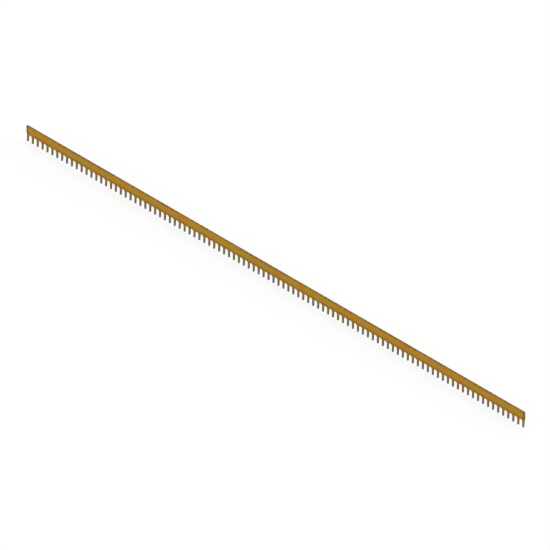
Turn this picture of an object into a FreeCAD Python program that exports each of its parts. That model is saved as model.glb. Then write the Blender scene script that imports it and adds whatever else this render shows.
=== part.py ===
"""Built-up comb rack: a long toothed bar made of single tooth blanks held between two thin cheek strips.

Frame: +X along the rack, +Z up, the teeth point down, the front cheek faces -Y.
Origin: the middle of the back edge (the top face), halfway along the rack. Millimetres.

Each tooth blank is one pitch wide at its shank, so the shanks stand edge to edge along the rack, with a
hairline joint between two of them that falls midway between two teeth. One flush rivet goes through the
front cheek, the shank and the rear cheek of every tooth.
"""

import FreeCAD
import Part
import Sketcher
import os

# The driving dimensions: name in the sheet, value in millimetres (or a count), meaning.
DIMENSIONS = [
    ("pitch", 10.0, "distance from one tooth to the next"),
    ("tooth_count", 101, "teeth along the rack"),
    ("group_size", 3, "tooth blanks kept together in one node"),
    ("joint_gap", 0.12, "hairline joint between two shanks"),
    ("blank_thickness", 1.5, "thickness of a tooth blank"),
    ("cheek_thickness", 0.5, "thickness of a cheek strip"),
    ("cheek_height", 12.0, "height of a cheek strip, down from the back edge"),
    ("shank_height", 14.8, "height of a shank, from the back edge to the gap roof"),
    ("tooth_height", 12.0, "tooth length, from the gap roof to the tip"),
    ("root_width", 3.6, "tooth width at the root"),
    ("tip_width", 2.8, "tooth width at the tip"),
    ("tip_lean", 0.6, "how far the middle of the tip stands towards -X of the middle of the root"),
    ("root_radius", 3.0, "fillet between a tooth and the gap roof"),
    ("tip_radius", 0.4, "rounding of the tip's corners"),
    ("end_margin", 0.3, "shank and cheek beyond the root of the first and the last tooth"),
    ("rivet_diameter", 2.0, "rivet, and the holes that it fills"),
    ("rivet_depth", 6.0, "rivet axis below the back edge"),
]

# Two points of a shape that are closer than this, in millimetres, stand at one place.
SAME_PLACE = 1e-6

doc = FreeCAD.newDocument("comb_rack")
sheet = doc.addObject("Spreadsheet::Sheet", "Dimensions")
for row, (alias, value, meaning) in enumerate(DIMENSIONS, start=1):
    sheet.set(f"A{row}", alias)
    sheet.set(f"B{row}", str(value))
    sheet.set(f"C{row}", meaning)
    sheet.setAlias(f"B{row}", alias)
doc.recompute()

parts = []


class Length:
    """A length: its expression over the sheet, which the model is bound to, and its present value."""

    def __init__(self, expression, value):
        self.expression = expression
        self.value = value

    def __add__(self, other):
        return Length(f"({self.expression} + {other.expression})", self.value + other.value)

    def __sub__(self, other):
        return Length(f"({self.expression} - {other.expression})", self.value - other.value)

    def __rmul__(self, factor):
        return Length(f"{factor} * {self.expression}", factor * self.value)


def size(alias):
    """The present value of one driving dimension."""
    return float(sheet.get(alias))


def length(alias):
    """One driving dimension as a length."""
    return Length(f"Dimensions.{alias}", size(alias))


# Sizes that follow from the driving dimensions.
PITCH = length("pitch")
HALF_SHANK = 0.5 * (PITCH - length("joint_gap"))
HALF_ROOT = 0.5 * length("root_width")
TIP_LEFT = 0.5 * length("tip_width") + length("tip_lean")
TIP_RIGHT = 0.5 * length("tip_width") - length("tip_lean")
END_REACH = HALF_ROOT + length("end_margin")
HALF_COUNT = (size("tooth_count") - 1) / 2
HALF_SPAN = Length("(Dimensions.tooth_count - 1) / 2 * Dimensions.pitch", HALF_COUNT * PITCH.value)
HALF_LENGTH = HALF_SPAN + END_REACH
CHEEK_FACE = 0.5 * length("blank_thickness") + length("cheek_thickness")

# Heights of the sketches' points.
BACK_Z = 0 * PITCH
RIVET_Z = -1 * length("rivet_depth")
CHEEK_BOTTOM_Z = -1 * length("cheek_height")
ROOF_Z = -1 * length("shank_height")
TIP_Z = ROOF_Z - length("tooth_height")


def new_body(label):
    """An empty body whose Label names its file. It may hold several separate solids."""
    body = doc.addObject("PartDesign::Body", label)
    body.Label = label
    body.AllowCompound = True
    parts.append(body)
    return body


def new_sketch(body, name):
    """A sketch on the body's own XZ plane: sketch x is along the rack, sketch y is up."""
    sketch = body.newObject("Sketcher::SketchObject", name)
    plane = next(item for item in body.Origin.OriginFeatures if item.Role == "XZ_Plane")
    sketch.AttachmentSupport = [(plane, "")]
    sketch.MapMode = "FlatFace"
    return sketch


def place_point(sketch, geometry, vertex, x, z):
    """Dimensions from the sketch's origin to one point, bound to the point's two lengths."""
    for kind, place in (("DistanceX", x), ("DistanceY", z)):
        index = sketch.addConstraint(Sketcher.Constraint(kind, -1, 1, geometry, vertex, place.value))
        sketch.setExpression(f"Constraints[{index}]", place.expression)


def draw_outline(sketch, corners):
    """A closed outline of straight edges through the corners, each a pair of lengths x and z."""
    points = [FreeCAD.Vector(x.value, z.value, 0) for x, z in corners]
    edges = []
    for index, point in enumerate(points):
        edges.append(Part.LineSegment(point, points[(index + 1) % len(points)]))
    first = sketch.addGeometry(edges, False)[0]
    joins = []
    for index in range(len(points)):
        following = first + (index + 1) % len(points)
        joins.append(Sketcher.Constraint("Coincident", first + index, 2, following, 1))
    sketch.addConstraint(joins)
    for index, (x, z) in enumerate(corners):
        place_point(sketch, first + index, 1, x, z)


def draw_rivet_circle(sketch, x):
    """The outline of a rivet, or of its hole, at x along the sketch."""
    diameter = length("rivet_diameter")
    centre = FreeCAD.Vector(x.value, RIVET_Z.value, 0)
    normal = FreeCAD.Vector(0, 0, 1)
    circle = sketch.addGeometry(Part.Circle(centre, normal, diameter.value / 2), False)
    place_point(sketch, circle, 3, x, RIVET_Z)
    index = sketch.addConstraint(Sketcher.Constraint("Diameter", circle, diameter.value))
    sketch.setExpression(f"Constraints[{index}]", diameter.expression)


def blank_corners(middle, outer_side):
    """The corners of a blank, anticlockwise from the left end of its back edge.

    middle is where the middle of the tooth's root stands. outer_side is -1 or +1 on the blank at that end
    of the rack, whose shank stops just past the root of its tooth, and 0 on all the others.
    """
    left = END_REACH if outer_side < 0 else HALF_SHANK
    right = END_REACH if outer_side > 0 else HALF_SHANK
    return [
        (middle - left, BACK_Z),
        (middle - left, ROOF_Z),
        (middle - HALF_ROOT, ROOF_Z),
        (middle - TIP_LEFT, TIP_Z),
        (middle + TIP_RIGHT, TIP_Z),
        (middle + HALF_ROOT, ROOF_Z),
        (middle + right, ROOF_Z),
        (middle + right, BACK_Z),
    ]


def edges_at(shape, places, z):
    """The names of the edges across the blank's thickness that stand at height z and at these places."""
    names = []
    for number, edge in enumerate(shape.Edges, start=1):
        start, end = edge.Vertexes[0].Point, edge.Vertexes[-1].Point
        across = abs(start.x - end.x) < SAME_PLACE and abs(start.z - end.z) < SAME_PLACE
        at_height = abs(start.z - z.value) < SAME_PLACE
        if across and at_height and any(abs(start.x - x.value) < SAME_PLACE for x in places):
            names.append(f"Edge{number}")
    return names


def fillet(body, base, name, edge_names, radius_alias):
    """A fillet feature on some edges of the feature before it."""
    feature = body.newObject("PartDesign::Fillet", name)
    feature.Base = (base, edge_names)
    feature.setExpression("Radius", f"Dimensions.{radius_alias}")
    doc.recompute()
    return feature


def tooth_blanks(label, first_tooth, count, outer_side=0):
    """A body of some neighbouring tooth blanks, counted from the -X end of the rack."""
    body = new_body(label)
    body.setExpression("Placement.Base.x", (first_tooth * PITCH - HALF_SPAN).expression)
    sketch = new_sketch(body, f"{label}_outline")
    roots = []
    tips = []
    for number in range(count):
        middle = number * PITCH
        draw_outline(sketch, blank_corners(middle, outer_side))
        draw_rivet_circle(sketch, middle)
        if outer_side >= 0:
            roots.append(middle - HALF_ROOT)
        if outer_side <= 0:
            roots.append(middle + HALF_ROOT)
        tips.append(middle - TIP_LEFT)
        tips.append(middle + TIP_RIGHT)
    pad = body.newObject("PartDesign::Pad", f"{label}_plate")
    pad.Profile = sketch
    pad.Midplane = True
    pad.setExpression("Length", "Dimensions.blank_thickness")
    doc.recompute()
    rooted = fillet(body, pad, f"{label}_roots", edges_at(pad.Shape, roots, ROOF_Z), "root_radius")
    fillet(body, rooted, f"{label}_tips", edges_at(rooted.Shape, tips, TIP_Z), "tip_radius")


def repeat_along_rack(body, feature, sketch, name):
    """Repeats a feature once for every tooth, towards +X."""
    pattern = body.newObject("PartDesign::LinearPattern", name)
    pattern.Originals = [feature]
    pattern.Direction = (sketch, ["H_Axis"])
    pattern.setExpression("Length", (2 * HALF_SPAN).expression)
    pattern.setExpression("Occurrences", "Dimensions.tooth_count")
    body.Tip = pattern
    doc.recompute()


def cheek(label, upper_y):
    """A full-length cheek strip with a rivet hole for every tooth. Its +Y face is at upper_y."""
    body = new_body(label)
    body.setExpression("Placement.Base.y", upper_y.expression)
    outline = new_sketch(body, f"{label}_outline")
    left, right = -1 * HALF_LENGTH, HALF_LENGTH
    corners = [(left, BACK_Z), (left, CHEEK_BOTTOM_Z), (right, CHEEK_BOTTOM_Z), (right, BACK_Z)]
    draw_outline(outline, corners)
    strip = body.newObject("PartDesign::Pad", f"{label}_strip")
    strip.Profile = outline
    strip.setExpression("Length", "Dimensions.cheek_thickness")
    circle = new_sketch(body, f"{label}_hole")
    draw_rivet_circle(circle, -1 * HALF_SPAN)
    hole = body.newObject("PartDesign::Pocket", f"{label}_first_hole")
    hole.Profile = circle
    hole.Type = "ThroughAll"
    hole.Midplane = True
    doc.recompute()
    repeat_along_rack(body, hole, circle, f"{label}_holes")


def rivets(label):
    """The flush rivets, one through every tooth blank and both cheeks."""
    body = new_body(label)
    circle = new_sketch(body, f"{label}_circle")
    draw_rivet_circle(circle, -1 * HALF_SPAN)
    shank = body.newObject("PartDesign::Pad", f"{label}_first")
    shank.Profile = circle
    shank.Midplane = True
    shank.setExpression("Length", (2 * CHEEK_FACE).expression)
    doc.recompute()
    repeat_along_rack(body, shank, circle, f"{label}_row")


def check_parts():
    """Stops if an object failed, or if a sub-part's shape is null or not valid."""
    for item in doc.Objects:
        if {"Invalid", "Error"} & set(item.State):
            raise RuntimeError(f"{item.Label} failed: {item.State}")
    for body in parts:
        if body.Shape.isNull() or not body.Shape.isValid():
            raise RuntimeError(f"{body.Label} has no valid shape")


def write_parts():
    """Writes each sub-part to a file named by its Label."""
    os.makedirs("parts", exist_ok=True)
    for body in parts:
        body.Shape.exportStep(f"parts/{body.Label}.step")
        solids = body.Shape.Solids
        print(f"{body.Label}: {len(solids)} solids, {body.Shape.Volume:.2f} mm3")


cheek("front_cheek", -0.5 * length("blank_thickness"))
cheek("rear_cheek", CHEEK_FACE)
last_tooth = int(size("tooth_count")) - 1
group_size = int(size("group_size"))
tooth_blanks("end_blank_left", 0, 1, outer_side=-1)
for group, first_tooth in enumerate(range(1, last_tooth, group_size), start=1):
    tooth_blanks(f"tooth_blanks_{group:02d}", first_tooth, min(group_size, last_tooth - first_tooth))
tooth_blanks("end_blank_right", last_tooth, 1, outer_side=1)
rivets("cheek_rivets")
doc.recompute()
check_parts()
write_parts()
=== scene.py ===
"""The looks of the comb rack: brass cheek strips, dark bronze tooth blanks, flush rivets, a pale floor.

All lengths are metres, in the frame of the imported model: +X along the rack, +Z up, the front cheek faces
-Y, and the origin is in the middle of the back edge.
"""

import math

import bpy
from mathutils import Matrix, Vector


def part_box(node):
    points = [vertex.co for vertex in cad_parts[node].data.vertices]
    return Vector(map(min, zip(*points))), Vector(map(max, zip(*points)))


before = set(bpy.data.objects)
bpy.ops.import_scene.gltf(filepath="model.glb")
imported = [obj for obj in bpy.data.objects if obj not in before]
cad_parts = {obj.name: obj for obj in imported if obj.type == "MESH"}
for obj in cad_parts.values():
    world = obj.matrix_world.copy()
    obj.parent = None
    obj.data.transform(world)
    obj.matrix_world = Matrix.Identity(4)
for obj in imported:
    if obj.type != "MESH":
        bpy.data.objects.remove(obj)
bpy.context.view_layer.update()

# Places on the rack, from the frame.
CHEEK_LOW, CHEEK_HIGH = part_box("front_cheek")
HALF_LENGTH = CHEEK_HIGH[0]
CHEEK_BOTTOM = CHEEK_LOW[2]
TIP_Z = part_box("tooth_blanks_01")[0][2]

# Sizes that no node's box gives: one tooth to the next, the roof of a gap, and a number of whole pitches
# that is longer than half of the rack.
PITCH = 0.010
ROOF_Z = -0.0148
WHOLE_PITCHES = 1000

# Linear colours of the metals.
BRASS = (0.425, 0.224, 0.008, 1.0)
BRASS_ORANGE = (0.48, 0.178, 0.008, 1.0)
BRASS_OLIVE = (0.38, 0.240, 0.014, 1.0)
# The dark brass colour below serves tarnish, grain and streaks, and also painted shade on the strips' top
# and end faces.
BRASS_TARNISH_AND_SHADE = (0.070, 0.045, 0.012, 1.0)
TOOTH_ROOT = (0.280, 0.155, 0.012, 1.0)
TOOTH_TIP = (0.180, 0.141, 0.086, 1.0)
# The dark tooth colour below serves grime, darkening beside the shank joints, and also painted shade on
# the tooth flanks.
TOOTH_GRIME_AND_SHADE = (0.025, 0.018, 0.010, 1.0)
RIVET = (0.385, 0.198, 0.010, 1.0)

# The floor is mostly self-lit, so that only a faint shadow shows on it. The surround is as bright as it.
WHITE = (1.0, 1.0, 1.0, 1.0)
FLOOR = (0.21, 0.21, 0.21, 1.0)
FLOOR_GLOW = 0.775
FLOOR_WIDTH = 60.0

SURROUND_STRENGTH = 0.985
KEY_PLACE = (0.6, 1.3, 3.4)
KEY_WIDTH = 1.2
KEY_POWER = 18.5

# The camera: lens and sensor in millimetres, the width of the view at the rack in metres, and how far the
# middle of the picture lies to the right of the rack's origin and above it.
LENS = 1500.0
SENSOR = 36.0
VIEW_WIDTH = 0.7849
AIM_RIGHT = 0.00186
AIM_UP = -0.01068


class Nodes:
    """A material's node tree, with short calls for the nodes used here."""

    def __init__(self, name):
        self.material = bpy.data.materials.new(name)
        self.material.use_nodes = True
        self.tree = self.material.node_tree
        self.shader = next(node for node in self.tree.nodes if node.type == "BSDF_PRINCIPLED")
        self.position = self.tree.nodes.new("ShaderNodeTexCoord").outputs["Object"]
        self.normal = self.tree.nodes.new("ShaderNodeNewGeometry").outputs["Normal"]

    def connect(self, value, socket):
        """Links an output, or sets a constant, on an input socket."""
        if isinstance(value, bpy.types.NodeSocket):
            self.tree.links.new(value, socket)
        else:
            socket.default_value = value

    def math(self, operation, first, second=0.0):
        """A Math node."""
        node = self.tree.nodes.new("ShaderNodeMath")
        node.operation = operation
        self.connect(first, node.inputs[0])
        self.connect(second, node.inputs[1])
        return node.outputs[0]

    def plus(self, first, second):
        """The sum of two values."""
        return self.math("ADD", first, second)

    def minus(self, first, second):
        """The first value less the second."""
        return self.math("SUBTRACT", first, second)

    def times(self, first, second):
        """The product of two values."""
        return self.math("MULTIPLY", first, second)

    def size_of(self, value):
        """A value without its sign."""
        return self.math("ABSOLUTE", value)

    def largest(self, first, *others):
        """The largest of some values."""
        for other in others:
            first = self.math("MAXIMUM", first, other)
        return first

    def axis(self, name, vector=None):
        """One component, X, Y or Z, of a vector, which is the place on the rack if none is given."""
        node = self.tree.nodes.new("ShaderNodeSeparateXYZ")
        self.connect(vector or self.position, node.inputs[0])
        return node.outputs[name]

    def ramp(self, value, low, high):
        """0 at low and 1 at high, smooth between them. low may be the larger one."""
        node = self.tree.nodes.new("ShaderNodeMapRange")
        node.interpolation_type = "SMOOTHSTEP"
        self.connect(value, node.inputs["Value"])
        node.inputs["From Min"].default_value = low
        node.inputs["From Max"].default_value = high
        return node.outputs["Result"]

    def noise(self, scales, detail=2.0, roughness=0.5, seed=0.0):
        """Noise with its own scale along X, Y and Z, in waves per metre."""
        mapping = self.tree.nodes.new("ShaderNodeMapping")
        mapping.inputs["Scale"].default_value = scales
        mapping.inputs["Location"].default_value = (seed, seed * 0.7, seed * 1.3)
        self.connect(self.position, mapping.inputs["Vector"])
        texture = self.tree.nodes.new("ShaderNodeTexNoise")
        texture.inputs["Scale"].default_value = 1.0
        texture.inputs["Detail"].default_value = detail
        texture.inputs["Roughness"].default_value = roughness
        self.connect(mapping.outputs["Vector"], texture.inputs["Vector"])
        return texture.outputs["Fac"]

    def mix(self, factor, first, second):
        """A mix of two colours."""
        node = self.tree.nodes.new("ShaderNodeMix")
        node.data_type = "RGBA"
        self.connect(factor, node.inputs[0])
        self.connect(first, node.inputs[6])
        self.connect(second, node.inputs[7])
        return node.outputs[2]

    def bump(self, height, strength, distance):
        """Bump on the shader's normal."""
        node = self.tree.nodes.new("ShaderNodeBump")
        node.inputs["Strength"].default_value = strength
        node.inputs["Distance"].default_value = distance
        self.connect(height, node.inputs["Height"])
        self.tree.links.new(node.outputs["Normal"], self.shader.inputs["Normal"])

    def finish(self, colour, metallic, roughness):
        """Sets what every metal here sets on its shader."""
        self.connect(colour, self.shader.inputs["Base Color"])
        self.connect(roughness, self.shader.inputs["Roughness"])
        self.shader.inputs["Metallic"].default_value = metallic
        return self.material


def upward(nodes):
    """1 where the surface faces up."""
    return nodes.ramp(nodes.axis("Z", nodes.normal), 0.45, 0.85)


def endways(nodes):
    """1 where the surface faces along the rack, either way."""
    return nodes.ramp(nodes.size_of(nodes.axis("X", nodes.normal)), 0.45, 0.85)


def near_joint(nodes, reach):
    """1 on the joint between two shanks, midway between two teeth, fading to 0 at reach from it."""
    # The whole pitches keep the value above 0 along the rack, and the half puts a joint at 0.
    along = nodes.plus(nodes.axis("X"), PITCH * (WHOLE_PITCHES + 0.5))
    within = nodes.math("MODULO", along, PITCH)
    distance = nodes.minus(PITCH / 2, nodes.size_of(nodes.minus(within, PITCH / 2)))
    return nodes.ramp(distance, reach, 0.0)


def strip_colour(nodes, grain):
    """Brass with warm and olive patches, and darker grain and streaks along the strip."""
    warm = nodes.ramp(nodes.noise((42.0, 60.0, 70.0), 3.0, 0.55, 3.1), 0.47, 0.66)
    olive = nodes.ramp(nodes.noise((50.0, 60.0, 80.0), 3.0, 0.55, 11.7), 0.47, 0.66)
    streaks = nodes.noise((22.0, 1500.0, 1500.0), 4.0, 0.65, 7.3)
    colour = nodes.mix(warm, BRASS, BRASS_ORANGE)
    colour = nodes.mix(nodes.times(olive, 0.8), colour, BRASS_OLIVE)
    colour = nodes.mix(nodes.times(nodes.ramp(grain, 0.55, 0.85), 0.25), colour, BRASS_TARNISH_AND_SHADE)
    return nodes.mix(nodes.times(nodes.ramp(streaks, 0.52, 0.78), 0.16), colour, BRASS_TARNISH_AND_SHADE)


def strip_darkening_and_shade(nodes):
    """How dark a strip is made: darker at its ends and in bands along its top and bottom edges, with
    painted shade on its top faces, deepest beside the joints, and on its end faces.
    """
    height = nodes.axis("Z")
    joint = near_joint(nodes, 0.0042)
    blotches = nodes.ramp(nodes.noise((60.0, 60.0, 60.0), 2.0, 0.5, 21.0), 0.38, 0.66)
    blotchy = nodes.plus(nodes.times(blotches, 0.9), 0.6)

    from_end = nodes.minus(HALF_LENGTH, nodes.size_of(nodes.axis("X")))
    both_ends = nodes.times(nodes.ramp(from_end, 0.0028, 0.0008), 0.75)
    left_end = nodes.ramp(nodes.plus(nodes.axis("X"), HALF_LENGTH), 0.0044, 0.0016)

    top_strength = nodes.times(nodes.plus(nodes.times(joint, 0.20), 0.27), blotchy)
    top_band = nodes.times(nodes.ramp(height, -0.0032, -0.0002), top_strength)
    low_band = nodes.times(nodes.ramp(height, CHEEK_BOTTOM + 0.0034, CHEEK_BOTTOM + 0.0004), 0.30)

    # Painted shade: top faces darker, deepest beside the joints, and faces that face along the rack (the
    # strip ends) darker.
    painted_top_shade = nodes.times(nodes.times(upward(nodes), blotchy), 0.20)
    painted_top_shade_by_joint = nodes.times(nodes.times(upward(nodes), joint), 0.52)
    painted_end_shade = nodes.times(endways(nodes), 0.85)
    dark = nodes.largest(both_ends, left_end, top_band, low_band, painted_top_shade, painted_top_shade_by_joint, painted_end_shade)
    mottle = nodes.noise((240.0, 300.0, 300.0), 4.0, 0.6, 5.0)
    return nodes.math("MINIMUM", nodes.times(dark, nodes.plus(nodes.times(mottle, 0.5), 0.75)), 1.0)


def brass_strip():
    """Rolled brass strip with fine grain along it."""
    nodes = Nodes("brass_strip")
    grain = nodes.noise((90.0, 5200.0, 5200.0), 3.0, 0.6, 1.0)
    colour = nodes.mix(strip_darkening_and_shade(nodes), strip_colour(nodes, grain), BRASS_TARNISH_AND_SHADE)
    nodes.bump(grain, 0.25, 0.00002)
    return nodes.finish(colour, 0.95, nodes.plus(nodes.times(grain, 0.16), 0.34))


def dark_bronze():
    """Oil-darkened bronze: brown at the root of a tooth, greyer towards its tip, dull all over."""
    nodes = Nodes("dark_bronze")
    height = nodes.axis("Z")
    colour = nodes.mix(nodes.ramp(height, ROOF_Z + 0.001, TIP_Z + 0.003), TOOTH_ROOT, TOOTH_TIP)
    grime = nodes.ramp(nodes.noise((420.0, 420.0, 300.0), 5.0, 0.6, 2.0), 0.48, 0.78)
    joint = nodes.times(near_joint(nodes, 0.0016), nodes.ramp(height, -0.004, -0.001))
    # Mixed towards the dark tooth colour: grime, painted shade on faces that face along the rack (the
    # tooth flanks), and darkening beside the shank joints near the top.
    for darkening, strength in ((grime, 0.6), (endways(nodes), 0.30), (joint, 0.8)):
        colour = nodes.mix(nodes.times(darkening, strength), colour, TOOTH_GRIME_AND_SHADE)
    marks = nodes.noise((2600.0, 2600.0, 260.0), 3.0, 0.6, 8.0)
    nodes.bump(marks, 0.3, 0.00003)
    return nodes.finish(colour, 0.85, nodes.plus(nodes.times(marks, 0.2), 0.38))


def filed_rivet():
    """Rivet ends filed flush: brass a little duller than the strips, with fine cross scratches."""
    nodes = Nodes("filed_rivet")
    scratches = nodes.noise((1500.0, 900.0, 7000.0), 3.0, 0.6, 4.0)
    spots = nodes.ramp(nodes.noise((500.0, 500.0, 500.0), 4.0, 0.6, 6.0), 0.5, 0.8)
    colour = nodes.mix(nodes.times(spots, 0.35), RIVET, BRASS_TARNISH_AND_SHADE)
    nodes.bump(scratches, 0.25, 0.00002)
    return nodes.finish(colour, 0.95, nodes.plus(nodes.times(scratches, 0.2), 0.34))


def dress(node_name, material):
    """Gives a CAD node its material."""
    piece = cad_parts[node_name]
    if not piece.material_slots:
        piece.data.materials.append(material)
    for material_slot in piece.material_slots:
        material_slot.material = material


def pale_floor():
    """A wide pale floor at the level of the tooth tips."""
    bpy.ops.mesh.primitive_plane_add(size=FLOOR_WIDTH, location=(0.0, 0.0, TIP_Z))
    floor = bpy.context.object
    floor.name = "floor"
    nodes = Nodes("pale_floor")
    nodes.shader.inputs["Specular IOR Level"].default_value = 0.0
    nodes.connect(FLOOR, nodes.shader.inputs["Base Color"])
    nodes.shader.inputs["Roughness"].default_value = 1.0
    nodes.shader.inputs["Emission Color"].default_value = WHITE
    nodes.shader.inputs["Emission Strength"].default_value = FLOOR_GLOW
    floor.data.materials.append(nodes.material)


def aim(obj, target):
    """Turns a camera or light, which looks along its own -Z, towards a point."""
    obj.rotation_euler = (Vector(target) - obj.location).to_track_quat("-Z", "Y").to_euler()


def soft_light(name, place, width, power):
    """A large square light aimed at the rack."""
    data = bpy.data.lights.new(name, "AREA")
    data.size = width
    data.energy = power
    light = bpy.data.objects.new(name, data)
    bpy.context.collection.objects.link(light)
    light.location = place
    aim(light, (0.0, 0.0, 0.0))


def studio():
    """An even bright surround, with one soft light from above and behind."""
    world = bpy.data.worlds.new("studio")
    world.use_nodes = True
    background = world.node_tree.nodes["Background"]
    background.inputs["Color"].default_value = WHITE
    background.inputs["Strength"].default_value = SURROUND_STRENGTH
    bpy.context.scene.world = world
    soft_light("key", KEY_PLACE, KEY_WIDTH, KEY_POWER)
    bpy.context.scene.view_settings.view_transform = "Standard"
    bpy.context.scene.view_settings.look = "None"


def isometric_camera():
    """A very long lens on the isometric direction, so that parallel edges stay nearly parallel."""
    turn = math.radians(45)
    rise = math.atan(1 / math.sqrt(2))
    towards = Vector((math.sin(turn) * math.cos(rise), -math.cos(turn) * math.cos(rise), math.sin(rise)))
    right = Vector((math.cos(turn), math.sin(turn), 0.0))
    up = towards.cross(right)
    data = bpy.data.cameras.new("camera")
    data.lens = LENS
    data.sensor_width = SENSOR
    distance = VIEW_WIDTH * LENS / SENSOR
    data.clip_start = 0.1
    data.clip_end = 100.0
    camera = bpy.data.objects.new("camera", data)
    bpy.context.collection.objects.link(camera)
    centre = right * AIM_RIGHT + up * AIM_UP
    camera.location = centre + towards * distance
    aim(camera, centre)
    bpy.context.scene.camera = camera


strip = brass_strip()
bronze = dark_bronze()
filed = filed_rivet()
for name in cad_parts:
    if name.endswith("cheek"):
        dress(name, strip)
    elif name == "cheek_rivets":
        dress(name, filed)
    else:
        dress(name, bronze)
pale_floor()
studio()
isometric_camera()
